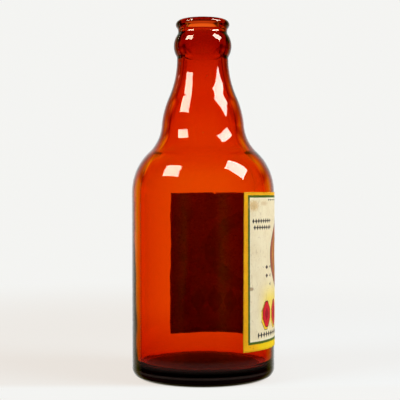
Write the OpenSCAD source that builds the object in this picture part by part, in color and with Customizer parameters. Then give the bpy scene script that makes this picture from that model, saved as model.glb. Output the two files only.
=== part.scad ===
// Short-necked glass bottle with a crown finish and one wrap-around paper label.
// Millimetres. The bottle stands on the XY plane, its axis is Z and the label faces -Y.
// The glass is one revolved profile: every curve is an arc that runs smoothly into the
// next one, so its height follows from the diameters and radii below.

/* [Body] */
// Outside diameter of the round body
body_d = 70.2; // [64:0.1:78]
// Glass thickness of the body and the shoulder
wall = 4.1; // [2.6:0.1:5]
// Bare glass between the label's top edge and the start of the shoulder curve
panel_gap = 0.1; // [0:0.1:8]

/* [Base] */
// Radius of the heel, from the body down to the ring that the bottle stands on
heel_r = 4.5; // [3:0.25:9]
// Width of the flat ring that the bottle stands on
bearing_w = 3; // [1.5:0.25:5]
// Radius that eases the standing ring into the push-up
bearing_ease_r = 5; // [2:0.5:12]
// Radius of the dome that pushes up the middle of the base
dome_r = 100; // [60:0.5:150]
// Glass thickness over the middle of the push-up
base_t = 3.1; // [2.5:0.1:9]
// Radius of the inside corner between the wall and the floor
inner_heel_r = 3; // [2:0.5:20]

/* [Shoulder and neck] */
// Radius of the round shoulder
shoulder_r = 27.1; // [23:0.1:32]
// Radius of the hollow curve between the shoulder and the neck's swell
waist_hollow_r = 19.8; // [15:0.1:26]
// Diameter at the waist, where the hollow curve meets the swell
waist_d = 40.8; // [35:0.1:45]
// Lean of the outline at the waist, from the vertical, in degrees
waist_lean = 4.7; // [1:0.1:7]
// Radius of the swell in the neck
swell_r = 43.7; // [36:0.1:54]
// Radius of the hollow curve below the straight neck
neck_hollow_r = 48; // [42:0.5:64]
// Radius of the same curve inside, where the cavity closes to the bore
throat_r = 80; // [30:1:110]
// Diameter of the straight neck
neck_d = 25.4; // [24.4:0.1:26.6]
// Length of the straight neck below the finish
neck_straight = 0.6; // [0.4:0.1:12]

/* [Crown finish] */
// Diameter of the bore
bore_d = 17.7; // [15.6:0.1:18.4]
// Diameter of the reinforcing bead
bead_d = 28.6; // [27.6:0.1:30]
// Radius of the bead's section
bead_r = 9.8; // [6.5:0.1:11]
// Diameter of the groove under the locking ring
groove_d = 24.3; // [23.6:0.1:25]
// Radius of the groove's section
groove_r = 3.4; // [2.4:0.1:4.4]
// Diameter of the locking ring, which the crown cap's skirt is crimped under
lock_d = 26.6; // [26.3:0.05:26.9]
// Radius under the locking ring
lock_r = 1.2; // [0.8:0.1:1.6]
// Height of the straight band on the locking ring
lock_band = 0.2; // [0.1:0.1:1]
// Radius of the lip's outer edge
lip_r = 2.3; // [1.6:0.1:2.8]
// Radius of the lip's inner edge
lip_in_r = 1.5; // [0.8:0.1:1.9]

/* [Mould marks] */
// Height of the fine ridges that the mould's joints leave on the glass
seam_h = 0.08; // [0.03:0.01:0.15]
// Width of those ridges
seam_w = 0.5; // [0.3:0.05:0.9]
// Height of the joint between the mould halves and the base plate
base_joint_z = 1.5; // [1:0.25:7]
// Diameter of the faint ring that the blank mould leaves under the base
baffle_d = 27; // [16:0.5:34]
// Height of that ring above the glass
baffle_h = 0.12; // [0.05:0.01:0.2]

/* [Label] */
// Length of the paper around the bottle
label_w = 111; // [60:0.5:150]
// Height of the paper
label_h = 75; // [50:0.1:90]
// Height of the paper's lower edge above the table
label_lift = 15.6; // [10:0.1:25]
// Thickness of the paper
label_t = 0.1; // [0.06:0.01:0.25]
// Thickness of the glue over the mould ridges
glue_t = 0.03; // [0.02:0.01:0.1]
// Width of the paper's edge that is left without glue
glue_margin = 0.8; // [0:0.1:3]

/* [Hidden] */
$fn = 160;

body_r = body_d / 2;
neck_r = neck_d / 2;
waist_r = waist_d / 2;
bore_r = bore_d / 2;
inside_r = body_r - wall;
panel_top = label_lift + label_h + panel_gap;

// Unit vector at an angle above the horizontal
function dir(a) = [cos(a), sin(a)];
// Steepest lean of a round curve that runs into a hollow one and steps in by a given width
function steepest(step_in, round_r, hollow_r, lean_0, lean_1) =
    acos((round_r * cos(lean_0) + hollow_r * cos(lean_1) - step_in) / (round_r + hollow_r));
// Height between the centres of two arcs that touch, from their radii and the width between them
function rise(r, width) = sqrt(r * r - width * width);

// Centres of the arcs, from the body to the neck
shoulder_a = steepest(body_r - waist_r, shoulder_r, waist_hollow_r, 0, waist_lean);
shoulder_c = [body_r - shoulder_r, panel_top];
waist_c = shoulder_c + (shoulder_r + waist_hollow_r) * dir(shoulder_a);
swell_c = waist_c - (waist_hollow_r + swell_r) * dir(waist_lean);
neck_a = steepest(waist_r - neck_r, swell_r, neck_hollow_r, waist_lean, 0);
neck_c = swell_c + (swell_r + neck_hollow_r) * dir(neck_a);

// The inside keeps the same centres, then closes to the bore with a curve of its own
throat_a = steepest(waist_r - wall * cos(waist_lean) - bore_r, swell_r - wall, throat_r, waist_lean, 0);
throat_c = swell_c + (swell_r - wall + throat_r) * dir(throat_a);

// Centres of the arcs of the finish
finish_z = neck_c.y + neck_straight;
bead_x = bead_d / 2 - bead_r;
bead_c = [bead_x, finish_z + rise(bead_r, neck_r - bead_x)];
groove_x = groove_d / 2 + groove_r;
groove_c = [groove_x, bead_c.y + rise(bead_r + groove_r, groove_x - bead_x)];
lock_x = lock_d / 2 - lock_r;
lock_c = [lock_x, groove_c.y + rise(groove_r + lock_r, groove_x - lock_x)];
bead_a = atan2(groove_c.y - bead_c.y, groove_x - bead_x);
lock_a = atan2(lock_c.y - groove_c.y, groove_x - lock_x);
lip_z = lock_c.y + lock_band;
bottle_h = lip_z + lip_r;

// Base
heel_c = [body_r - heel_r, heel_r];
ring_in_r = heel_c.x - bearing_w;
dome_a = asin(ring_in_r / (dome_r + bearing_ease_r));
dome_c = [0, bearing_ease_r - (dome_r + bearing_ease_r) * cos(dome_a)];
push_up = dome_c.y + dome_r;
floor_z = push_up + base_t;
inner_heel_c = [inside_r - inner_heel_r, floor_z + inner_heel_r];

// Label
paper_r = body_r + seam_h + glue_t;
label_a = label_w / paper_r * 180 / PI;
margin_a = glue_margin / paper_r * 180 / PI;

// Moves a shape to a point in a coarse and a fine step, so that arcs meet without a gap
module place(p) {
    near = [round(p.x * 100) / 100, round(p.y * 100) / 100];
    translate(near) translate(p - near) children();
}

// Part of a profile from the axis to a straight side, between two heights
module band(r, z0, z1) {
    difference() {
        place([0, z0]) square([r, z1 - z0 + 1]);
        place([-1, z1]) square([r + 2, 2]);
    }
}

// Part of a profile that ends in an arc bulging outwards, between two heights
module round_band(c, r, z0, z1) {
    inner = max(c.x, 0);
    if (inner > 0) band(inner, z0, z1);
    intersection() {
        place(c) circle(r);
        band(inner + r + 1, z0, z1);
    }
}

// Part of a profile that ends in an arc bulging inwards, between two heights
module hollow_band(c, r, z0, z1) {
    difference() {
        band(c.x, z0, z1);
        place(c) circle(r);
    }
}

// Outside of the glass; grow moves every curve outwards by the same distance
module outside_profile(grow) {
    shoulder_z = shoulder_c.y + (shoulder_r + grow) * sin(shoulder_a);
    waist_z = waist_c.y - (waist_hollow_r - grow) * sin(waist_lean);
    swell_z = swell_c.y + (swell_r + grow) * sin(neck_a);
    bead_low_z = bead_c.y - rise(bead_r + grow, neck_r + grow - bead_x);
    bead_top_z = bead_c.y + (bead_r + grow) * sin(bead_a);
    lock_low_z = lock_c.y - (lock_r + grow) * sin(lock_a);
    round_band(heel_c, heel_r + grow, 0, heel_r);
    band(body_r + grow, heel_r, panel_top);
    round_band(shoulder_c, shoulder_r + grow, panel_top, shoulder_z);
    hollow_band(waist_c, waist_hollow_r - grow, shoulder_z, waist_z);
    round_band(swell_c, swell_r + grow, waist_z, swell_z);
    hollow_band(neck_c, neck_hollow_r - grow, swell_z, neck_c.y);
    band(neck_r + grow, neck_c.y, bead_low_z);
    round_band(bead_c, bead_r + grow, bead_low_z, bead_top_z);
    hollow_band(groove_c, groove_r - grow, bead_top_z, lock_low_z);
    round_band(lock_c, lock_r + grow, lock_low_z, lock_c.y);
    band(lock_d / 2 + grow, lock_c.y, lip_z);
    round_band([lock_d / 2 - lip_r, lip_z], lip_r + grow, lip_z, bottle_h);
}

// Cavity, from the floor up through the bore and the rounded lip
module cavity_profile() {
    shoulder_z = shoulder_c.y + (shoulder_r - wall) * sin(shoulder_a);
    waist_z = waist_c.y - (waist_hollow_r + wall) * sin(waist_lean);
    swell_z = swell_c.y + (swell_r - wall) * sin(throat_a);
    lip_in_c = [bore_r + lip_in_r, bottle_h - lip_in_r];
    round_band(inner_heel_c, inner_heel_r, floor_z, inner_heel_c.y);
    band(inside_r, inner_heel_c.y, panel_top);
    round_band(shoulder_c, shoulder_r - wall, panel_top, shoulder_z);
    hollow_band(waist_c, waist_hollow_r + wall, shoulder_z, waist_z);
    round_band(swell_c, swell_r - wall, waist_z, swell_z);
    hollow_band(throat_c, throat_r, swell_z, throat_c.y);
    band(bore_r, throat_c.y, lip_in_c.y);
    hollow_band(lip_in_c, lip_in_r, lip_in_c.y, bottle_h + 1);
}

// Space under the base, inside the standing ring
module push_up_profile() {
    ease_x = dome_r * sin(dome_a);
    intersection() {
        place(dome_c) circle(dome_r);
        translate([0, -1]) square([ease_x, push_up + 2]);
    }
    difference() {
        translate([ease_x, -1]) square([ring_in_r - ease_x, 1 + bearing_ease_r / 2]);
        translate([ring_in_r, bearing_ease_r]) circle(bearing_ease_r);
    }
}

// Fine ridges where the mould halves, the base plate and the neck ring meet
module mould_seams() {
    seam_top = lock_c.y - lock_r / 2;
    intersection() {
        rotate_extrude() outside_profile(seam_h);
        union() {
            translate([-seam_w / 2, -body_d, base_joint_z]) cube([seam_w, 2 * body_d, seam_top - base_joint_z]);
            translate([0, 0, base_joint_z - seam_w / 2]) cylinder(r = body_d, h = seam_w);
            translate([0, 0, finish_z - seam_w / 2]) cylinder(r = body_d, h = seam_w);
        }
    }
}

// Faint ring left under the base by the blank mould
module baffle_ring() {
    x = baffle_d / 2;
    z = dome_c.y + rise(dome_r, x);
    rotate_extrude() translate([x, z]) circle(baffle_h);
}

// Curved sheet on the front of the body
module sheet(r0, r1, arc, z0, h) {
    rotate([0, 0, -90 - arc / 2])
        rotate_extrude(angle = arc)
            translate([r0, z0]) square([r1 - r0, h]);
}

module bottle_glass() {
    color("saddlebrown") {
        difference() {
            union() {
                rotate_extrude() outside_profile(0);
                mould_seams();
            }
            rotate_extrude() cavity_profile();
            rotate_extrude() push_up_profile();
        }
        baffle_ring();
    }
}

module label_adhesive() {
    color("wheat")
        difference() {
            sheet(body_r, paper_r, label_a - 2 * margin_a, label_lift + glue_margin, label_h - 2 * glue_margin);
            mould_seams();
        }
}

module paper_label() {
    color("gold") sheet(paper_r, paper_r + label_t, label_a, label_lift, label_h);
}

bottle_glass();
label_adhesive();
paper_label();
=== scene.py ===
import math

import bpy
from mathutils import Matrix, Vector


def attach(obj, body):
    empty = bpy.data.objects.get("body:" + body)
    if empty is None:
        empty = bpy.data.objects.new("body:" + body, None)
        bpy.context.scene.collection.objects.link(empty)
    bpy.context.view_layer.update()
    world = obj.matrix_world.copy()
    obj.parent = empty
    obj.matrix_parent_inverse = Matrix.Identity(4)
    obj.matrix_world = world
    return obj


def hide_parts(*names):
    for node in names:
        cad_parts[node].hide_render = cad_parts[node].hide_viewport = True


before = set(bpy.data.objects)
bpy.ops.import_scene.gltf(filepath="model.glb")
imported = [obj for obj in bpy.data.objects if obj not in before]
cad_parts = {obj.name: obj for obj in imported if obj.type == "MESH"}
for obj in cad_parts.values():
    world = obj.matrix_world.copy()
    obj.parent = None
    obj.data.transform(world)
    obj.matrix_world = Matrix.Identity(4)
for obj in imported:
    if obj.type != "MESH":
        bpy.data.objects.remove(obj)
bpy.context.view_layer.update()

MM = 0.001
PI = math.pi
QUARTER = math.pi / 2

# ---------------------------------------------------------------- sizes, in mm, as in the CAD source
body_r, wall = 35.1, 4.1
heel_r, bearing_w, bearing_ease_r = 4.5, 3.0, 5.0
dome_r, base_t, inner_heel_r = 100.0, 3.1, 3.0
shoulder_r, waist_hollow_r, waist_r, waist_lean = 27.1, 19.8, 20.4, math.radians(4.7)
swell_r, neck_hollow_r, throat_r, neck_r, neck_straight = 43.7, 48.0, 80.0, 12.7, 0.6
bore_r, lip_r, lip_in_r = 8.85, 2.3, 1.5
bead_r, groove_r, lock_r, lock_band = 9.8, 3.4, 1.2, 0.2
bead_outside_r, groove_floor_r, lock_outside_r = 14.3, 12.15, 13.3
seam_h, seam_w, base_joint_z = 0.08, 0.5, 1.5
baffle_x, baffle_h = 13.5, 0.12
label_w, label_h, label_lift, panel_gap = 111.0, 75.0, 15.6, 0.1
label_t, glue_t, glue_margin = 0.1, 0.03, 0.8


# ---------------------------------------------------------------- centres and angles, from the sizes
def steepest(step_in, round_r, hollow_r, lean_0, lean_1):
    """Lean of the outline where a round arc runs into a hollow one and the two step in by step_in."""
    reach = round_r * math.cos(lean_0) + hollow_r * math.cos(lean_1) - step_in
    return math.acos(reach / (round_r + hollow_r))


def leg(hypotenuse, width):
    """The other short side of a right-angled triangle."""
    return math.sqrt(hypotenuse ** 2 - width ** 2)


def off(c, r, a):
    """The point at distance r from c, at angle a."""
    return (c[0] + r * math.cos(a), c[1] + r * math.sin(a))


inside_r = body_r - wall
panel_top = label_lift + label_h + panel_gap
paper_r = body_r + seam_h + glue_t
shoulder_a = steepest(body_r - waist_r, shoulder_r, waist_hollow_r, 0, waist_lean)
shoulder_c = (body_r - shoulder_r, panel_top)
waist_c = off(shoulder_c, shoulder_r + waist_hollow_r, shoulder_a)
swell_c = off(waist_c, -(waist_hollow_r + swell_r), waist_lean)
neck_a = steepest(waist_r - neck_r, swell_r, neck_hollow_r, waist_lean, 0)
neck_c = off(swell_c, swell_r + neck_hollow_r, neck_a)
throat_step = waist_r - wall * math.cos(waist_lean) - bore_r
throat_a = steepest(throat_step, swell_r - wall, throat_r, waist_lean, 0)
throat_c = off(swell_c, swell_r - wall + throat_r, throat_a)
finish_z = neck_c[1] + neck_straight
bead_x = bead_outside_r - bead_r
groove_x = groove_floor_r + groove_r
lock_x = lock_outside_r - lock_r
bead_c = (bead_x, finish_z + leg(bead_r, neck_r - bead_x))
groove_c = (groove_x, bead_c[1] + leg(bead_r + groove_r, groove_x - bead_x))
lock_c = (lock_x, groove_c[1] + leg(groove_r + lock_r, groove_x - lock_x))
bead_0 = -math.asin(leg(bead_r, neck_r - bead_x) / bead_r)
bead_a = math.atan2(groove_c[1] - bead_c[1], groove_x - bead_x)
lock_a = math.atan2(lock_c[1] - groove_c[1], groove_x - lock_x)
lip_z = lock_c[1] + lock_band
bottle_h = lip_z + lip_r
lip_c = (lock_x + lock_r - lip_r, lip_z)
lip_in_c = (bore_r + lip_in_r, bottle_h - lip_in_r)
ring_in_r = body_r - heel_r - bearing_w
dome_a = math.asin(ring_in_r / (dome_r + bearing_ease_r))
dome_c = (0.0, bearing_ease_r - (dome_r + bearing_ease_r) * math.cos(dome_a))
push_up = dome_c[1] + dome_r
floor_z = push_up + base_t


# ---------------------------------------------------------------- the glass, as one revolved outline
def arc(c, r, a0, a1, step):
    """Points about step apart on the arc round c from angle a0 to a1."""
    n = max(4, int(abs(a1 - a0) * r / step) + 1)
    return [off(c, r, a0 + (a1 - a0) * i / n) for i in range(n + 1)]


def line(p, q, step):
    """Points up to step apart from p to q."""
    n = max(1, int(math.dist(p, q) / step) + 1)
    return [(p[0] + (q[0] - p[0]) * i / n, p[1] + (q[1] - p[1]) * i / n) for i in range(n + 1)]


def chain(*parts):
    """The parts as one row of points, without the doubled ones where parts meet."""
    same = 0.004
    points = []
    for part in parts:
        for p in part:
            if not points or math.dist(points[-1], p) > same:
                points.append(p)
    return points


def densify(points, test, step):
    """The same row, with points up to step apart next to those that pass the test."""
    closer = [points[0]]
    for p, q in zip(points, points[1:]):
        if test(p) or test(q):
            closer += line(p, q, step)[1:]
        else:
            closer.append(q)
    return closer


under = chain(
    arc(dome_c, dome_r, QUARTER, QUARTER - dome_a, 0.6),
    arc((ring_in_r, bearing_ease_r), bearing_ease_r, -QUARTER - dome_a, -QUARTER, 0.25),
    line((ring_in_r, 0), (body_r - heel_r, 0), 1.0),
)
outer = chain(
    arc((body_r - heel_r, heel_r), heel_r, -QUARTER, 0, 0.25),
    line((body_r, heel_r), (body_r, panel_top), 1.5),
    arc(shoulder_c, shoulder_r, 0, shoulder_a, 0.5),
    arc(waist_c, waist_hollow_r, PI + shoulder_a, PI + waist_lean, 0.5),
    arc(swell_c, swell_r, waist_lean, neck_a, 0.6),
    arc(neck_c, neck_hollow_r, PI + neck_a, PI, 0.6),
    line((neck_r, neck_c[1]), (neck_r, finish_z), 0.25),
    arc(bead_c, bead_r, bead_0, bead_a, 0.25),
    arc(groove_c, groove_r, PI + bead_a, PI - lock_a, 0.15),
    arc(lock_c, lock_r, -lock_a, 0, 0.12),
    line((lock_outside_r, lock_c[1]), (lock_outside_r, lip_z), 0.2),
    arc(lip_c, lip_r, 0, QUARTER, 0.15),
)
inner = chain(
    line((lip_c[0], bottle_h), (lip_in_c[0], bottle_h), 0.3),
    arc(lip_in_c, lip_in_r, QUARTER, PI, 0.12),
    line((bore_r, lip_in_c[1]), (bore_r, throat_c[1]), 0.8),
    arc(throat_c, throat_r, PI, PI + throat_a, 0.5),
    arc(swell_c, swell_r - wall, throat_a, waist_lean, 0.6),
    arc(waist_c, waist_hollow_r + wall, PI + waist_lean, PI + shoulder_a, 0.5),
    arc(shoulder_c, shoulder_r - wall, shoulder_a, 0, 0.5),
    line((inside_r, panel_top), (inside_r, floor_z + inner_heel_r), 1.5),
    arc((inside_r - inner_heel_r, floor_z + inner_heel_r), inner_heel_r, 0, -QUARTER, 0.3),
    line((inside_r - inner_heel_r, floor_z), (0, floor_z), 1.0),
)


def near_baffle(p):
    return abs(p[0] - baffle_x) < 1.4


def near_joint(p):
    return abs(p[1] - finish_z) < 0.7 or abs(p[1] - base_joint_z) < 0.8


# closer rows where the outline meets the mould's joints and the ring under the base
outside = densify(under, near_baffle, 0.1) + densify(outer[1:], near_joint, 0.08)
outline = outside + inner[1:]


def normals(points):
    """Unit normals of a row of points, pointing out of the glass."""
    out = []
    for i in range(len(points)):
        a, b = points[max(0, i - 1)], points[min(len(points) - 1, i + 1)]
        dx, dz = b[0] - a[0], b[1] - a[1]
        length = math.hypot(dx, dz) or 1
        out.append((dz / length, -dx / length))
    return out


def hump(d, half):
    """A smooth bump over d, 1 in the middle and 0 from half on."""
    t = abs(d) / half
    return (1 - t * t) ** 2 if t < 1 else 0.0


def columns_round():
    """Angles of the columns: every 2 degrees, and much closer at the two mould joints."""
    coarse_deg, fine_deg, fine_each_side, nudge_deg = 2, 0.07, 14, 0.001
    side = [math.radians(i * coarse_deg) for i in range(360 // coarse_deg)]
    fine = [fine_deg * i for i in range(-fine_each_side, fine_each_side + 1)]
    for centre in (90, 270):
        side += [math.radians(centre + f + nudge_deg) for f in fine]
    return sorted(set(round(a % (2 * PI), 6) for a in side))


def build_glass():
    """The outline revolved, with ridges at the mould's joints and a faint ring under the base."""
    ring_half, baffle_half, seam_half = 0.3, 0.22, seam_w / 2 + 0.03
    seam_z, seam_in_r = base_joint_z - 0.1, 10
    baffle_dip = baffle_h * 0.8
    side = columns_round()
    n = len(side)
    verts, faces, rows = [], [], []
    for i, ((r, z), (out_r, out_z)) in enumerate(zip(outline, normals(outline))):
        if r < 1e-6:
            rows.append([len(verts)])
            verts.append((0, 0, z * MM))
            continue
        on_outside = i < len(outside)
        ring = 0.0
        if on_outside and z > 0.5:
            at_base = hump(z - base_joint_z, ring_half) if r > ring_in_r else 0
            ring = max(at_base, hump(z - finish_z, ring_half))
        dip = baffle_dip * hump(r - baffle_x, baffle_half) if on_outside and z < floor_z else 0.0
        with_seam = on_outside and seam_z < z < lock_c[1] and r > seam_in_r
        row = []
        for a in side:
            ridge = ring * seam_h
            if with_seam:
                from_joint = min(abs(a - PI / 2), abs(a - 3 * PI / 2)) * r
                ridge = max(ridge, seam_h * hump(from_joint, seam_half))
            x = r + ridge * out_r
            row.append(len(verts))
            verts.append((x * math.cos(a) * MM, x * math.sin(a) * MM, (z + ridge * out_z - dip) * MM))
        rows.append(row)
    for a, b in zip(rows, rows[1:]):
        for k in range(n):
            m = (k + 1) % n
            if len(a) == 1:
                faces.append((a[0], b[m], b[k]))
            elif len(b) == 1:
                faces.append((a[k], a[m], b[0]))
            else:
                faces.append((a[k], a[m], b[m], b[k]))
    mesh = bpy.data.meshes.new("glass")
    mesh.from_pydata(verts, [], faces)
    mesh.validate()
    mesh.polygons.foreach_set("use_smooth", [True] * len(mesh.polygons))
    mesh.update()
    return mesh


def add(name, data):
    o = bpy.data.objects.new(name, data)
    bpy.context.scene.collection.objects.link(o)
    return o


# ---------------------------------------------------------------- the two sheets of the label
def build_sheet(name, r0, r1, arc_mm, z0, z1, columns, rows, shape):
    """A sheet round the front of the body, from radius r0 to r1. UV runs 0-1 along and up it.
    shape(u, v) says how far its points move along and up, in mm."""
    half = arc_mm / paper_r / 2
    verts, faces, uvs = [], [], []
    for r in (r0, r1):
        for j in range(rows + 1):
            v = j / rows
            for i in range(columns + 1):
                u = i / columns
                du, dz = shape(u, v)
                a = -PI / 2 - half + 2 * half * u + du / paper_r
                verts.append((r * math.cos(a) * MM, r * math.sin(a) * MM, (z0 + (z1 - z0) * v + dz) * MM))
                uvs.append((u, v))
    w = columns + 1
    top = (rows + 1) * w
    for j in range(rows):
        for i in range(columns):
            p = j * w + i
            faces.append((p + w, p + w + 1, p + 1, p))
            faces.append((top + p, top + p + 1, top + p + w + 1, top + p + w))
    for i in range(columns):
        faces.append((i, i + 1, top + i + 1, top + i))
        e = rows * w + i
        faces.append((top + e, top + e + 1, e + 1, e))
    for j in range(rows):
        p, q = j * w, (j + 1) * w
        faces.append((p, top + p, top + q, q))
        p, q = p + columns, q + columns
        faces.append((top + p, p, q, top + q))
    mesh = bpy.data.meshes.new(name)
    mesh.from_pydata(verts, [], faces)
    uv_map = mesh.uv_layers.new(name="UVMap")
    uv_map.data.foreach_set("uv", [c for loop in mesh.loops for c in uvs[loop.vertex_index]])
    n_flat = 2 * rows + 2 * columns
    mesh.polygons.foreach_set("use_smooth", [True] * (len(faces) - n_flat) + [False] * n_flat)
    mesh.update()
    return add(name, mesh)


def ease(t):
    return t * t * (3 - 2 * t)


def lean(u, v):
    """The foot of the sheet is cut a little short on the far half."""
    rise = min(1.0, max(0.0, (u - 0.3) / 0.25))
    fall = min(1.0, max(0.0, (u - 0.65) / 0.3))
    return (1.3 * ease(rise) - 0.6 * ease(fall)) * (1 - v) ** 2


def paper_shape(u, v):
    """Ragged edges and one small nick in the top edge, fading out over a narrow hem."""
    along, up = u * label_w, v * label_h
    hem_u, hem_v, trim = 0.02, 0.03, 0.08
    nick_at, nick_half, nick_depth = 84.0, 0.9, 0.9
    rag_u = 0.03 * math.sin(along * 1.7) + 0.02 * math.sin(along * 4.1 + 1) + 0.02 * math.sin(along * 9.3)
    rag_v = 0.04 * math.sin(up * 0.35 + 2) + 0.015 * math.sin(up * 5.3) + 0.015 * math.sin(up * 11.1)
    du = dz = 0.0
    if v > 1 - hem_v:
        k = (v - (1 - hem_v)) / hem_v
        dz = (rag_u - trim) * k - nick_depth * hump(along - nick_at, nick_half) * k
    if v < hem_v:
        dz = (trim + rag_u) * (hem_v - v) / hem_v
    if u < hem_u:
        du = (trim + rag_v + 0.3 * (2 * v - 1)) * (hem_u - u) / hem_u
    if u > 1 - hem_u:
        du = (rag_v - trim) * (u - (1 - hem_u)) / hem_u
    return du, dz + lean(u, v)


def glue_shape(u, v):
    return 0.0, lean(u, v)


# ---------------------------------------------------------------- shader helper
class Net:
    """A node tree, with sums written as in Python."""

    def __init__(self, tree):
        self.tree = tree
        tree.nodes.clear()

    def node(self, kind, inputs=None, **settings):
        n = self.tree.nodes.new(kind)
        for key, value in settings.items():
            setattr(n, key, value)
        for key, value in (inputs or {}).items():
            self.feed(n.inputs[key], value)
        return n

    def feed(self, socket, value):
        if isinstance(value, Num):
            self.tree.links.new(value.socket, socket)
        elif isinstance(value, bpy.types.NodeSocket):
            self.tree.links.new(value, socket)
        else:
            socket.default_value = value

    def math(self, op, *values, clamp=False):
        n = self.tree.nodes.new("ShaderNodeMath")
        n.operation = op
        n.use_clamp = clamp
        for s, v in zip(n.inputs, values):
            self.feed(s, v)
        return Num(self, n.outputs[0])

    def mix(self, factor, a, b, blend="MIX"):
        n = self.tree.nodes.new("ShaderNodeMix")
        n.data_type = "RGBA"
        n.blend_type = blend
        self.feed(n.inputs[0], factor)
        self.feed(n.inputs[6], a)
        self.feed(n.inputs[7], b)
        return n.outputs[2]

    def noise(self, vector, scale, detail=2.0, rough=0.5):
        n = self.node("ShaderNodeTexNoise", {"Scale": scale, "Detail": detail, "Roughness": rough})
        self.feed(n.inputs["Vector"], vector)
        return Num(self, n.outputs[0])

    def map(self, vector, location=(0, 0, 0), scale=(1, 1, 1), rotation=(0, 0, 0)):
        n = self.node("ShaderNodeMapping", {"Location": location, "Scale": scale, "Rotation": rotation})
        self.feed(n.inputs["Vector"], vector)
        return n.outputs[0]

    def split(self, vector):
        """The X, Y and Z of a vector."""
        n = self.node("ShaderNodeSeparateXYZ", {"Vector": vector})
        return [Num(self, s) for s in n.outputs[:3]]

    def cells(self, vector, scale):
        """Distance from the nearest of many scattered points, and a number that differs between them."""
        n = self.node("ShaderNodeTexVoronoi", {"Scale": scale}, feature="F1")
        self.feed(n.inputs["Vector"], vector)
        tag = self.node("ShaderNodeSeparateColor", {"Color": n.outputs["Color"]})
        return Num(self, n.outputs["Distance"]), Num(self, tag.outputs[0])

    def ramp(self, x, lo, hi):
        """0 at lo, 1 at hi, straight between."""
        n = self.node("ShaderNodeMapRange", {"From Min": lo, "From Max": hi})
        self.feed(n.inputs["Value"], x)
        return Num(self, n.outputs[0])

    def smooth(self, x, lo, hi):
        """0 at lo, 1 at hi, eased between."""
        n = self.node("ShaderNodeMapRange", {"From Min": lo, "From Max": hi}, interpolation_type="SMOOTHSTEP")
        self.feed(n.inputs["Value"], x)
        return Num(self, n.outputs[0])

    def curve(self, x, points):
        """Straight lines through points (x, value)."""
        total = points[0][1]
        for (x0, y0), (x1, y1) in zip(points, points[1:]):
            total = total + self.ramp(x, x0, x1) * (y1 - y0)
        return total

    def tones(self, x, red, green, blue):
        """A colour whose three parts are curves of x."""
        parts = {i: self.curve(x, points) for i, points in enumerate((red, green, blue))}
        return self.node("ShaderNodeCombineColor", parts).outputs[0]


class Num:
    """A number that a node gives, for sums."""

    def __init__(self, net, socket):
        self.net, self.socket = net, socket

    def __add__(self, o):
        return self.net.math("ADD", self, o)

    def __radd__(self, o):
        return self.net.math("ADD", o, self)

    def __sub__(self, o):
        return self.net.math("SUBTRACT", self, o)

    def __rsub__(self, o):
        return self.net.math("SUBTRACT", o, self)

    def __mul__(self, o):
        return self.net.math("MULTIPLY", self, o)

    def __truediv__(self, o):
        return self.net.math("DIVIDE", self, o)

    def __neg__(self):
        return self.net.math("MULTIPLY", self, -1.0)

    def abs(self):
        return self.net.math("ABSOLUTE", self)

    def max(self, o):
        return self.net.math("MAXIMUM", self, o)

    def min(self, o):
        return self.net.math("MINIMUM", self, o)

    def clamp(self):
        return self.net.math("ADD", self, 0.0, clamp=True)


def srgb(r, g, b, a=1.0):
    def linear(c):
        c /= 255
        return c / 12.92 if c <= 0.04045 else ((c + 0.055) / 1.055) ** 2.4

    return (linear(r), linear(g), linear(b), a)


def material(name):
    m = bpy.data.materials.new(name)
    m.use_nodes = True
    return m, Net(m.node_tree)


# ---------------------------------------------------------------- amber glass; heights and radii in metres
# the skin's tint by height, a painted shade: darker at the base, up the neck and in the finish, less so in a
# band at the lip
SHADE_BY_HEIGHT_RED = [(0.013, 0.86), (0.034, 1.0), (0.105, 1.0), (0.12, 0.953), (0.131, 0.932), (0.141, 0.895),
            (0.1465, 0.81), (0.150, 0.71), (0.155, 0.66), (0.160, 0.55), (0.163, 0.43), (0.1693, 0.42),
            (0.1701, 0.92), (0.1729, 0.92), (0.1737, 0.40)]
SHADE_BY_HEIGHT_GREEN = [(0.013, 0.58), (0.034, 1.0), (0.10, 1.0), (0.11, 0.83), (0.12, 0.71), (0.131, 0.61),
              (0.141, 0.485), (0.1465, 0.25), (0.150, 0.164), (0.155, 0.14), (0.160, 0.15), (0.163, 0.10),
              (0.1693, 0.09), (0.1701, 0.44), (0.1729, 0.44), (0.1737, 0.12)]
SHADE_BY_HEIGHT_BLUE = [(0.013, 0.5), (0.034, 1.0), (0.10, 1.0), (0.131, 0.5), (0.155, 0.3)]
GLASS_IOR = 1.52
ABSORBED_COLOUR, ABSORBED_DENSITY = (0.9444, 0.6444, 0.0, 1), 900.0
HAZE_PAINTED_GLOW_RED = srgb(164, 70, 40)


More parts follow.
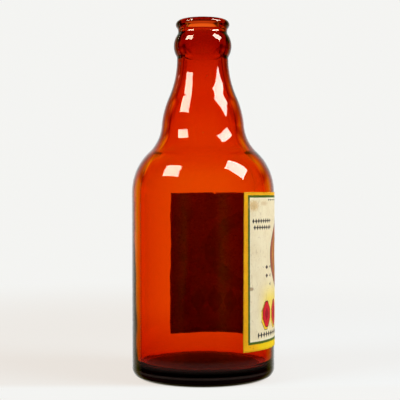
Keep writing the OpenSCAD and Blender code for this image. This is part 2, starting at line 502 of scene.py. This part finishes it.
def glass_wear(n, pos, x, y, z, r):
    """Worn and dirty places, with painted light: the rubbed heel, also painted dark as shade, the rough film,
    that film with a haze whose reddish colour is a painted glow, and their colour.
    """
    floor = floor_z * MM
    on_floor = n.ramp(z, floor - 0.0015, floor - 0.0012) * n.ramp(z, floor + 0.0012, floor + 0.0002)
    on_floor = on_floor * n.ramp(r, 0.0287, 0.0276)
    below = n.ramp(z, 0.0046, 0.0042) * n.ramp(r, 0.0308, 0.0304)
    outside = n.ramp(r, 0.0306, 0.0312)
    heel = n.smooth(z, 0.0052, 0.0034) * outside
    foot = n.smooth(z, 0.0130, 0.0100) * n.smooth(z, 0.0060, 0.0090) * outside
    # scuffs under the foot, a rubbed heel also painted dark as shade, and a dried residue on the floor of the
    # cavity
    grime = n.noise(pos, 260.0, 5.0, 0.65)
    film = below.max(on_floor * (0.80 + grime * 0.3)).max(heel * 0.11).clamp()
    wear_and_painted_light = n.mix(n.ramp(grime, 0.35, 0.7), srgb(44, 26, 20), srgb(84, 52, 38))
    wear_and_painted_light = n.mix(n.smooth(r, 0.019, 0.011), wear_and_painted_light, srgb(30, 18, 13))
    wear_and_painted_light = n.mix(n.smooth(r, 0.0215, 0.0260), wear_and_painted_light, srgb(118, 90, 62))
    # above the heel, a thin haze that isn't rough, whose reddish colour is a painted glow of light passing
    # through the glass
    wear_and_painted_light = n.mix(foot, wear_and_painted_light, HAZE_PAINTED_GLOW_RED)
    # the heel's near-black is painted shade, and its lighter rubbed marks are wear
    around = n.node("ShaderNodeCombineXYZ", {0: n.math("ARCTAN2", y, x) * 6.0, 1: z * 2600.0})
    rubbed = n.ramp(n.noise(around.outputs[0], 1.0, 4.0, 0.6), 0.64, 0.80)
    wear_and_painted_light = n.mix(heel, wear_and_painted_light, n.mix(rubbed, srgb(12, 11, 10), srgb(100, 92, 84)))
    return heel, film, film.max(foot * 0.018), wear_and_painted_light


def glass_material():
    m, n = material("amber_glass_shiny")
    pos = n.node("ShaderNodeTexCoord").outputs["Object"]
    x, y, z = n.split(pos)
    r = n.math("SQRT", x * x + y * y)
    # slow waves left by the mould, finer ripples, and the odd speck of dust on the skin
    wave = n.noise(n.map(pos, scale=(1, 1, 0.6)), 90.0, 1.0)
    ripple = n.noise(n.map(pos, scale=(1, 1, 0.45)), 420.0, 1.0)
    height = wave * 0.00016 + ripple * 0.000012
    bump = n.node("ShaderNodeBump", {"Strength": 1.0, "Distance": 1.0, "Height": height})
    near, which = n.cells(pos, 210.0)
    dust = n.ramp(near, 0.085, 0.05) * n.ramp(which, 0.975, 0.98)
    haze = n.noise(pos, 55.0, 3.0)
    rough = (n.ramp(haze, 0.5, 0.8) * 0.012 + dust * 0.35 + 0.004).clamp()
    tint = n.mix(dust, (1, 1, 1, 1), srgb(150, 120, 90))
    # round the bore the outer skin alone gets the painted shade, so light that keeps inside the wall comes
    # out darker
    bore = n.ramp(r, 0.0120, 0.0113) * n.ramp(z, 0.140, 0.150) * n.ramp(z, 0.1701, 0.1693)
    painted_height_shade = n.tones(z, SHADE_BY_HEIGHT_RED, SHADE_BY_HEIGHT_GREEN, SHADE_BY_HEIGHT_BLUE)
    tint = n.mix(1.0, tint, n.mix(bore, painted_height_shade, (1, 1, 1, 1)), "MULTIPLY")
    heel, film, skin, wear_and_painted_light = glass_wear(n, pos, x, y, z, r)
    # painted shade: the heel is darkened almost to black
    tint = n.mix(heel, tint, (0.03, 0.02, 0.02, 1), "MULTIPLY")
    p = n.node("ShaderNodeBsdfPrincipled", {
        "Base Color": n.mix(skin, tint, wear_and_painted_light),
        "Roughness": (rough + film * 0.6).clamp(),
        "Normal": bump.outputs[0],
        "IOR": GLASS_IOR,
        "Transmission Weight": 1.0 - skin * 0.85,
    })
    v = n.node("ShaderNodeVolumeAbsorption", {"Color": ABSORBED_COLOUR, "Density": ABSORBED_DENSITY})
    n.node("ShaderNodeOutputMaterial", {"Surface": p.outputs[0], "Volume": v.outputs[0]})
    return m


# ---------------------------------------------------------------- the print's places on the sheet, in mm
MID_U, STAR_V, STUDS_V = label_w / 2, 44.5, 16.8
STUD_PITCH = 9.7
OVAL_SQUEEZE = 2.4


def sheet_mm(n):
    """Places on a sheet in mm, from its lower left corner."""
    uv = n.node("ShaderNodeUVMap", uv_map="UVMap").outputs[0]
    return n.map(uv, scale=(label_w, label_h, 1))


def row(n, x, pitch, centre=None):
    """x as measured from the nearest of a row of places."""
    return n.math("WRAP", x if centre is None else x - centre, pitch / 2, -pitch / 2)


def oval_radius(n, mu, mv):
    return n.math("SQRT", mu * mu + mv * mv * OVAL_SQUEEZE)


# ---------------------------------------------------------------- dried glue, seen through the back wall
def glue_material():
    m, n = material("dry_glue_matt")
    mm = sheet_mm(n)
    blotch = n.noise(mm, 0.09, 4.0, 0.6)
    brush = n.noise(n.map(mm, scale=(0.25, 1.6, 1)), 0.8, 3.0)
    grain = n.noise(mm, 3.5, 3.0)
    t = (n.ramp(blotch, 0.35, 0.7) * 0.6 + n.ramp(brush, 0.4, 0.7) * 0.25 + grain * 0.2).clamp()
    colour = n.mix(t, srgb(206, 172, 124), srgb(166, 130, 88))
    mottle = n.noise(mm, 0.75, 2.0, 0.5)
    colour = n.mix(n.ramp(mottle, 0.56, 0.68) * 0.45, colour, srgb(110, 76, 52))
    colour = n.mix(n.ramp(mottle, 0.42, 0.34) * 0.35, colour, srgb(235, 205, 160))
    # the darkest print shows through a little: the ringed oval and the row of studs
    u, v, _ = n.split(mm)
    mu, mv = u - MID_U, v - STAR_V
    oval = oval_radius(n, mu, mv)
    ringed = n.smooth(oval, 35.6, 34.4) * n.smooth(oval, 25.4, 26.6)
    studs = row(n, mu, STUD_PITCH).abs() / 4.7 + (v - STUDS_V).abs() / 7.2
    show = ringed.max(n.smooth(studs, 1.1, 0.9) * n.smooth(mu.abs(), 44.5, 43.0))
    colour = n.mix(show * 0.45, colour, srgb(120, 84, 58))
    bump = n.node("ShaderNodeBump", {"Strength": 0.4, "Distance": 0.00004, "Height": brush + grain * 0.5})
    p = n.node("ShaderNodeBsdfPrincipled", {
        "Base Color": colour,
        "Roughness": 0.85,
        "Normal": bump.outputs[0],
        "Specular IOR Level": 0.0,
    })
    n.node("ShaderNodeOutputMaterial", {"Surface": p.outputs[0]})
    return m


# ---------------------------------------------------------------- printed paper
INK_EDGE = 0.12
CREAM, PALE, GOLD, BROWN = srgb(244, 234, 200), srgb(248, 242, 212), srgb(226, 168, 44), srgb(150, 62, 28)
DARK_BROWN, BLACK, RUST, RED = srgb(74, 34, 24), srgb(44, 42, 40), srgb(150, 66, 42), srgb(196, 70, 40)
# the medallion's rings, from outside in: radius and colour
OVAL_RINGS = [(35.0, DARK_BROWN), (34.4, srgb(166, 92, 64)), (30.8, GOLD), (29.6, RUST), (26.0, PALE)]
DISC_RINGS = [(14.5, DARK_BROWN), (13.9, GOLD), (12.2, RED), (10.8, PALE)]
# old stains: middle, half sizes, colour and strength
STAINS = [
    ((6.5, 68.5), (4.5, 3.4), srgb(214, 178, 112), 0.7),
    ((14.0, 69.5), (4.0, 1.4), srgb(200, 166, 104), 0.45),
    ((4.6, 29.5), (2.4, 1.2), srgb(132, 92, 48), 0.65),
    ((76.0, 12.0), (7.0, 3.0), srgb(170, 130, 80), 0.35),
    ((100.0, 60.0), (5.0, 8.0), srgb(176, 138, 84), 0.4),
]


def over(n, colour, shape, ink):
    """Lays ink where shape, a signed distance in mm, is below zero."""
    return n.mix(n.smooth(shape, INK_EDGE, -INK_EDGE), colour, ink)


def lozenge(x, y, half_w, half_h):
    """Signed distance of a diamond, straight-sided."""
    return (x.abs() / half_w + y.abs() / half_h - 1.0) * (half_w * half_h / math.hypot(half_w, half_h))


def print_field(n, u, v):
    """Aged cream, with a soft yellow glow low down."""
    glow = n.smooth(v, 35.0, 22.0) * n.smooth(v, 8.0, 15.0) * n.smooth((u - MID_U).abs(), 48.0, 36.0)
    return n.mix(glow * 0.9, CREAM, srgb(250, 226, 84))


def print_medallion(n, colour, u, v):
    """A compass star of four rays in a ringed oval, in the middle of the sheet."""
    mu, mv = u - MID_U, v - STAR_V
    disc = n.math("SQRT", mu * mu + mv * mv)
    oval = oval_radius(n, mu, mv)
    for radius, ink in OVAL_RINGS:
        colour = over(n, colour, oval - radius, ink)
    for radius, ink in DISC_RINGS:
        colour = over(n, colour, disc - radius, ink)
    long, short = 10.4, 3.0
    colour = over(n, colour, lozenge(mu, mv, short, long), BROWN)
    colour = over(n, colour, lozenge(mu, mv, long, short), BROWN)
    return over(n, colour, disc - 2.4, GOLD)


def stud(x, y):
    """Signed distance of a diamond with its four corners cut off."""
    return lozenge(x, y, 5.2, 8.2).max(x.abs() - 3.9).max(y.abs() - 6.3)


def print_studs(n, colour, u, v):
    """Nine red studs in a row, outlined dark, with a yellow shade to the lower left."""
    lu, lv = row(n, u, STUD_PITCH, MID_U), v - STUDS_V
    within = (u - MID_U).abs() - 43.6
    shade = stud(lu + 0.9, lv + 0.8).max(within - 0.9)
    colour = over(n, colour, shade - 0.3, srgb(120, 92, 30))
    colour = over(n, colour, shade, srgb(246, 206, 40))
    red = stud(lu, lv).max(within)
    colour = over(n, colour, red, srgb(92, 16, 22))
    colour = over(n, colour, red + 0.45, srgb(214, 26, 46))
    return over(n, colour, lozenge(lu, lv, 2.0, 3.2).max(within), srgb(166, 14, 34))


def print_scatter(n, colour, u, v):
    """Small diamonds in a block below and to the left of the star."""
    du, dv = row(n, u, 4.3, 12.4), row(n, v, 4.1, 31.0)
    block = ((u - 14.5).abs() - 6.4).max((v - 35.1).abs() - 6.1)
    keep = u * 0.62 + v * 0.36 - 22.4
    small = lozenge(du, dv, 1.3, 1.05).max(block).max(-keep * 0.4)
    return over(n, colour, small, srgb(60, 40, 34))


def print_chain(n, colour, u, v, height, pitch, half_w, half_h, start, shift=0.0, gap=0.0, dots=0.6):
    """A chain of diamonds and dots across the sheet, from start to as far from the other end."""
    centre = MID_U + shift
    from_middle = (u - MID_U).abs()
    y = v - height
    ends = (from_middle - (MID_U - start)).max(gap - from_middle)
    colour = over(n, colour, lozenge(row(n, u, pitch, centre), y, half_w, half_h).max(ends), BLACK)
    between = row(n, u, pitch, centre + pitch / 2)
    dot = n.math("SQRT", between * between + y * y) - min(half_h * 0.42, 0.42) * dots
    return over(n, colour, dot.max(ends), BLACK)


def print_border(n, colour, mm, u, v):
    """A yellow border, a green line and a pale line inside it; also how far in from the edge a place is."""
    left, low, high = MID_U - (u - MID_U).abs(), v, label_h - v
    border = (left - 2.68).min(low - 3.4).min(high - 1.5)
    colour = over(n, colour, border - 1.9, PALE)
    colour = over(n, colour, border - 1.2, srgb(72, 100, 26))
    yellow = n.mix(n.ramp(n.noise(mm, 0.16, 3.0), 0.35, 0.7), srgb(250, 190, 0), srgb(244, 170, 0))
    yellow = n.mix(n.smooth(u, 5.0, 13.0) * n.smooth(v, 12.0, 4.0), yellow, srgb(250, 216, 0))
    return over(n, colour, border, yellow), left.min(low).min(high)


def paper_wear(n, colour, mm, edge):
    """Paper tone, dirt at the edge, stains, spots and rubbed ink."""
    tone = n.noise(mm, 0.12, 5.0, 0.6)
    colour = n.mix(n.ramp(tone, 0.42, 0.8) * 0.28, colour, srgb(206, 174, 110), "MULTIPLY")
    dirt = n.smooth(edge + n.noise(mm, 0.5, 4.0) * 1.6, 1.9, 0.3)
    colour = n.mix(dirt * 0.5, colour, srgb(150, 106, 46), "MULTIPLY")
    u, v, _ = n.split(mm)
    for (mid_u, mid_v), (half_u, half_v), tint, amount in STAINS:
        x, y = (u - mid_u) / half_u, (v - mid_v) / half_v
        d = n.math("SQRT", x * x + y * y) + (n.noise(mm, 1.2, 4.0, 0.65) - 0.5) * 1.4
        colour = n.mix(n.smooth(d, 1.0, 0.35) * amount, colour, tint)
    near, which = n.cells(mm, 0.5)
    spot = n.ramp(near, 0.16, 0.08) * n.ramp(which, 0.86, 0.88)
    colour = n.mix(spot * 0.55, colour, srgb(120, 78, 40))
    worn = n.noise(mm, 2.2, 4.0, 0.7)
    return n.mix(n.ramp(worn, 0.62, 0.74) * 0.4, colour, srgb(240, 226, 186))


def paper_material():
    m, n = material("printed_paper_aged")
    mm = sheet_mm(n)
    # the print sits a hair off true, as ink does on paper
    wobble = n.node("ShaderNodeTexNoise", {"Scale": 0.9, "Detail": 3.0})
    n.feed(wobble.inputs["Vector"], mm)
    half = (0.5, 0.5, 0.5)
    shift = n.node("ShaderNodeVectorMath", {0: wobble.outputs["Color"], 1: half}, operation="SUBTRACT")
    shift = n.node("ShaderNodeVectorMath", {0: shift.outputs[0], "Scale": 0.35}, operation="SCALE")
    pos = n.node("ShaderNodeVectorMath", {0: mm, 1: shift.outputs[0]}, operation="ADD").outputs[0]
    u, v, _ = n.split(pos)

    colour = print_field(n, u, v)
    colour = print_medallion(n, colour, u, v)
    colour = print_studs(n, colour, u, v)
    colour = print_scatter(n, colour, u, v)
    # chains under the top edge, in two rows on either side of the oval, and along the foot
    colour = print_chain(n, colour, u, v, 71.3, 2.6, 0.8, 0.6, 18.5, dots=1.0)
    colour = print_chain(n, colour, u, v, 61.3, 1.9, 0.72, 1.25, 5.4, gap=34.5)
    colour = print_chain(n, colour, u, v, 58.2, 1.9, 0.72, 1.25, 6.2, shift=0.95, gap=34.5)
    colour = print_chain(n, colour, u, v, 7.3, 2.3, 0.85, 1.5, 9.0)
    colour, edge = print_border(n, colour, mm, u, v)
    colour = paper_wear(n, colour, mm, edge)

    # fibre, a slow cockle and a few creases in the surface
    fibre = n.noise(n.map(mm, scale=(1, 2.2, 1)), 3.0, 4.0, 0.6)
    cockle = n.noise(mm, 0.22, 3.0)
    crease = n.noise(n.map(mm, scale=(1.0, 0.25, 1), rotation=(0, 0, 0.5)), 0.35, 2.0)
    fold = n.smooth((crease - 0.5).abs(), 0.012, 0.0)
    # the colour is also darker along each crease
    colour = n.mix(fold * 0.25, colour, srgb(150, 120, 80), "MULTIPLY")
    height = fibre * 0.000025 + cockle * 0.0003 - fold * 0.00002
    bump = n.node("ShaderNodeBump", {"Strength": 0.8, "Distance": 1.0, "Height": height})
    p = n.node("ShaderNodeBsdfPrincipled", {
        "Base Color": colour,
        "Roughness": (0.46 + n.noise(mm, 1.1, 3.0) * 0.16 + fold * 0.1).clamp(),
        "Normal": bump.outputs[0],
        "IOR": 1.45,
        "Specular IOR Level": 0.35,
    })
    n.node("ShaderNodeOutputMaterial", {"Surface": p.outputs[0]})
    return m


# ---------------------------------------------------------------- pieces
glass = add("bottle_glass_blown", build_glass())
glass.data.materials.append(glass_material())
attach(glass, "root")
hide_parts("bottle_glass")

# the glue keeps a hair clear of the glass and the paper
glue_clear = 0.004
label_top = label_lift + label_h
glue_foot = label_lift + glue_margin
glue_top = label_top - glue_margin
glue_w = label_w - 2 * glue_margin
glue = build_sheet(
    "label_glue", body_r + glue_clear, paper_r - glue_clear, glue_w, glue_foot, glue_top, 150, 24, glue_shape,
)
glue.data.materials.append(glue_material())
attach(glue, "root")
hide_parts("label_adhesive")

paper = build_sheet(
    "label_paper", paper_r, paper_r + label_t, label_w, label_lift, label_top, 300, 200, paper_shape,
)
paper.data.materials.append(paper_material())
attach(paper, "root")
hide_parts("paper_label")

# ---------------------------------------------------------------- camera, in metres
CAM_AZIMUTH, CAM_DISTANCE, CAM_HEIGHT = math.radians(147.7), 0.480, 0.0892
LENS, SENSOR = 87.21, 36
YAW_LEFT, PITCH_DOWN, ROLL = math.radians(0.177), math.radians(0.296), math.radians(-0.126)
TO_CAM = Vector((math.cos(CAM_AZIMUTH), math.sin(CAM_AZIMUTH), 0))
RIGHT = Vector((-math.sin(CAM_AZIMUTH), math.cos(CAM_AZIMUTH), 0))
UP = Vector((0, 0, 1))


def turned(right, up, back):
    """A rotation from three axes."""
    return Matrix((right, up, back)).transposed().to_4x4()


def aim(yaw_left, pitch_down, roll):
    """The camera's rotation: level and square to the bottle, then turned by three small angles."""
    level = -TO_CAM * math.cos(yaw_left) - RIGHT * math.sin(yaw_left)
    right = RIGHT * math.cos(yaw_left) - TO_CAM * math.sin(yaw_left)
    forward = level * math.cos(pitch_down) - UP * math.sin(pitch_down)
    up = UP * math.cos(pitch_down) + level * math.sin(pitch_down)
    rolled_right = right * math.cos(roll) + up * math.sin(roll)
    rolled_up = up * math.cos(roll) - right * math.sin(roll)
    return turned(rolled_right, rolled_up, -forward)


def build_camera():
    data = bpy.data.cameras.new("camera")
    data.lens = LENS
    data.sensor_width = SENSOR
    data.clip_start = 0.01
    data.clip_end = 50
    cam = add("camera", data)
    place = Matrix.Translation(TO_CAM * CAM_DISTANCE + UP * CAM_HEIGHT)
    cam.matrix_world = place @ aim(YAW_LEFT, PITCH_DOWN, ROLL)
    bpy.context.scene.camera = cam


# ---------------------------------------------------------------- studio
WHITE = (0.905, 0.905, 0.885)
# tones by the height of a ray's direction, or by how far it points aside or away from the camera's side
LEVEL = [(-0.35, 1.0), (-0.18, 0.72), (-0.13, 0.8), (-0.08, 1.0), (0.05, 1.0), (0.14, 0.85), (0.17, 0.66),
         (0.22, 0.55), (0.28, 0.65), (0.36, 0.85), (0.43, 0.85), (0.50, 0.5)]
LEAN_IN = [(-0.15, 0.22), (-0.08, 0.18), (-0.02, 0.0)]
EDGE_DIMS = [(-0.08, 0.97), (-0.02, 0.75), (0.1, 0.5), (0.30, 0.5), (0.38, 0.85)]
ASIDE = [(0.25, 1.2), (0.45, 3.0), (0.55, 6.2), (0.62, 4.0), (0.68, 2.6), (0.80, 0.6)]
ASIDE_HEIGHT = [(-0.25, 0.5), (-0.10, 1.0), (0.12, 1.0), (0.15, 0.5), (0.22, 0.28), (0.28, 0.6)]
LIP = [(0.44, 0.9), (0.51, 0.76), (0.55, 0.3)]
LAMPS = [(0.22, 0.0), (0.33, 1.0), (0.45, 0.8)]
AISLE = [(0.13, 0.0), (0.16, 1.0), (0.24, 1.0), (0.28, 0.0)]
MIRROR_RED = [(0.45, 0.0), (0.60, 0.08), (0.69, 0.2), (0.80, 0.38), (0.905, 0.72), (0.94, 0.86)]
MIRROR_GREEN = [(0.50, 0.0), (0.69, 0.15), (0.80, 0.37), (0.905, 0.72), (0.94, 0.86)]
MIRROR_BLUE = [(0.64, 0.0), (0.70, 0.05), (0.80, 0.29), (0.905, 0.67), (0.94, 0.85)]


def seen_through(n, toward, across, dz, walls):
    """The studio as found by light that has passed glass. walls is 1 from the third skin on, and else 0."""
    # the lit sweep is brightest level with the bottle and behind it
    sweep = n.smooth(toward, 0.05, -0.45) * 0.70 + 0.30
    # what comes round inside the wall alone is paler aside, and dim at the very rim
    edge = n.smooth(across + n.curve(dz, LEAN_IN), -0.42, -0.28) * n.smooth(across, 0.48, 0.32)
    rim = n.curve(dz, LEVEL) * (1.0 - edge * n.curve(dz, EDGE_DIMS))
    aside = n.curve(across.abs(), ASIDE) * n.curve(dz, ASIDE_HEIGHT)
    mouth = n.smooth(dz, 0.18, 0.24) * n.smooth(across, -0.28, -0.18) * n.smooth(across, 0.22, 0.12)
    lip = n.curve(dz, LIP)
    wing = n.smooth(across.abs(), 0.68, 0.82) * n.smooth(dz, 0.09, 0.13).max(n.smooth(dz, -0.20, -0.26))
    one = 1.0 - walls
    rim_g = (walls + one * (rim * aside * (1.0 - mouth) + mouth * lip)) * (1.0 - wing * 0.65)
    rim_r = (walls + one * (rim * (1.0 - mouth) + mouth * lip)) * (1.0 - wing * 0.55)
    # the lamps overhead brighten what leaves steeply upwards, most on the left; beside the neck it is dim
    left = n.smooth(across, 0.1, -0.1) * 0.5 + 0.5
    high = n.curve(dz, LAMPS) * left * n.smooth(across.abs(), 0.12, 0.30)
    aisle = n.smooth(across.abs(), 0.30, 0.40) * n.curve(dz, AISLE)
    sky_r = (1.0 + high * 0.45) * (1.0 - walls * aisle * 0.35)
    sky_g = (1.0 + high * 1.5) * (1.0 - walls * aisle * 0.5)
    parts = {0: sky_r * sweep * rim_r * 1.28, 1: sky_g * sweep * rim_g * 0.87, 2: sky_g * sweep * rim_g * 0.8}
    return n.node("ShaderNodeCombineColor", parts).outputs[0]


def build_world():
    world = bpy.data.worlds.new("studio")
    world.use_nodes = True
    bpy.context.scene.world = world
    n = Net(world.node_tree)
    dx, dy, dz = n.split(n.node("ShaderNodeTexCoord").outputs["Generated"])
    toward = dx * TO_CAM.x + dy * TO_CAM.y
    across = dx * RIGHT.x + dy * RIGHT.y
    path = n.node("ShaderNodeLightPath")
    is_cam = Num(n, path.outputs["Is Camera Ray"])
    is_trans = Num(n, path.outputs["Is Transmission Ray"])
    walls = n.ramp(Num(n, path.outputs["Transmission Depth"]), 2.4, 2.6)
    after = Num(n, path.outputs["Diffuse Depth"]).min(1.0).max(Num(n, path.outputs["Is Diffuse Ray"]))
    # mirrored in the glass, only its middle shows; what is matt gets a plain grey, or more through glass
    colour = n.tones(-toward, MIRROR_RED, MIRROR_GREEN, MIRROR_BLUE)
    colour = n.mix(is_trans, colour, seen_through(n, toward, across, dz, walls))
    colour = n.mix(is_cam, colour, (*WHITE, 1))
    colour = n.mix(after, colour, n.mix(is_trans, (0.13, 0.13, 0.14, 1), (1.6, 1.6, 1.55, 1)))
    bg = n.node("ShaderNodeBackground", {"Color": colour, "Strength": 1.0})
    n.node("ShaderNodeOutputWorld", {"Surface": bg.outputs[0]})


# the lamps: two lit panels that show in reflections, each with a light that lights what is matt
LAMP_FOCUS = UP * 0.09
LAMP_DISTANCE, LAMP_RADIANCE, LAMP_SHARE = 1.0, 20.0, 0.8
LAMP_COLOUR = (1.0, 0.96, 0.90)


def direction(azimuth, elevation):
    """A direction by degrees to the right of the camera's side, and up."""
    az, el = math.radians(azimuth), math.radians(elevation)
    return TO_CAM * (math.cos(az) * math.cos(el)) + RIGHT * (math.sin(az) * math.cos(el)) + UP * math.sin(el)


def lamp_glow(name, glow):
    """Shines in full up to one skin of glass, at a tenth beyond it, and not at all after a matt bounce."""
    m, n = material(name)
    path = n.node("ShaderNodeLightPath")
    first = 1.0 - Num(n, path.outputs["Diffuse Depth"]).min(1.0)
    first = first * n.curve(Num(n, path.outputs["Transmission Depth"]), [(1.4, 1.0), (1.6, 0.1)])
    e = n.node("ShaderNodeEmission", {"Color": (*glow, 1), "Strength": first * LAMP_RADIANCE})
    n.node("ShaderNodeOutputMaterial", {"Surface": e.outputs[0]})
    return m


def softbox(name, corners, glow):
    """A flat lit panel through four directions seen from the bottle, and a light of its size and place."""
    middle = sum((direction(*c) for c in corners), Vector()).normalized()
    pts = []
    for c in corners:
        v = direction(*c)
        pts.append(v * (LAMP_DISTANCE / v.dot(middle)) + LAMP_FOCUS)
    mesh = bpy.data.meshes.new(name)
    mesh.from_pydata([tuple(p) for p in pts], [], [(0, 1, 2, 3)])
    mesh.materials.append(lamp_glow(name + "_lit", glow))
    panel = add(name, mesh)
    panel.visible_camera = False
    panel.visible_diffuse = False
    panel.visible_shadow = False
    centre = sum(pts, Vector()) / 4
    ax = ((pts[1] - pts[0]) + (pts[2] - pts[3])) / 2
    ay = ((pts[3] - pts[0]) + (pts[2] - pts[1])) / 2
    light = bpy.data.lights.new(name + "_light", "AREA")
    light.shape = "RECTANGLE"
    light.size = ax.length
    light.size_y = ay.length
    light.color = LAMP_COLOUR
    light.energy = LAMP_RADIANCE * LAMP_SHARE * math.pi * ax.length * ay.length
    o = add(name + "_light", light)
    z = -(LAMP_FOCUS - centre).normalized()
    x = (ax - z * ax.dot(z)).normalized()
    o.matrix_world = Matrix.Translation(centre) @ turned(x, z.cross(x), z)
    o.visible_camera = False
    o.visible_glossy = False
    o.visible_transmission = False


def floor_material():
    """White, emitting its own light, with a painted warm shade round the foot of the bottle that the lamps'
    matt light brightens, so that only a soft shade shows there.
    """
    m, n = material("floor_white")
    path = n.node("ShaderNodeLightPath")
    gx, gy, _ = n.split(n.node("ShaderNodeNewGeometry").outputs["Position"])
    dist = n.math("SQRT", gx * gx + gy * gy)
    ahead = gx * TO_CAM.x + gy * TO_CAM.y
    beside = gx * RIGHT.x + gy * RIGHT.y
    far = n.smooth(dist, 0.15, 0.55).max(n.smooth(ahead, 0.020, 0.034))
    # painted shade round the foot, warmer and darker on the left
    shade = n.mix(n.smooth(beside, -0.02, 0.05), (0.765, 0.69, 0.62, 1), (0.80, 0.76, 0.72, 1))
    lit = n.mix(far, shade, (*WHITE, 1))
    lit = n.mix(Num(n, path.outputs["Diffuse Depth"]).min(1.0), lit, (0.30, 0.30, 0.29, 1))
    # no light gets under the foot
    lit = n.mix(n.smooth(dist, 0.0325, 0.0285), lit, (0.0, 0.0, 0.0, 1))
    emit = n.node("ShaderNodeEmission", {"Color": lit, "Strength": 1.0})
    # the bluish matt paint, lit by the lamps, tops the painted shade up to white, so where a lamp is shadowed
    # the shade shows warm
    paint = n.node("ShaderNodeBsdfDiffuse", {"Color": n.mix(far, (0.080, 0.124, 0.158, 1), (0, 0, 0, 1))})
    both = n.node("ShaderNodeAddShader", {0: emit.outputs[0], 1: paint.outputs[0]})
    n.node("ShaderNodeOutputMaterial", {"Surface": both.outputs[0]})
    return m


def build_floor():
    radius, sides, below = 4, 96, 0.0002
    turns = [2 * PI * i / sides for i in range(sides)]
    mesh = bpy.data.meshes.new("floor")
    ring = [(radius * math.cos(a), radius * math.sin(a), -below) for a in turns]
    mesh.from_pydata(ring, [], [tuple(range(sides))])
    mesh.materials.append(floor_material())
    floor = add("floor", mesh)
    # glass mirrors and passes the studio's tones instead, which stand for sweep and floor together
    floor.visible_glossy = False
    floor.visible_transmission = False


build_camera()
build_world()
softbox("softbox_left", [(-43.5, 28), (-73, 25.5), (-79, 43.3), (-47, 50)], (1.0, 0.78, 0.60))
softbox("softbox_right", [(43.5, 45), (69.5, 20.5), (91, 33.5), (71, 57.5)], (1.0, 0.82, 0.70))
build_floor()

scene = bpy.context.scene
scene.view_settings.view_transform = "Standard"
scene.view_settings.look = "None"
scene.cycles.max_bounces = 24
scene.cycles.transmission_bounces = 24
scene.cycles.glossy_bounces = 12
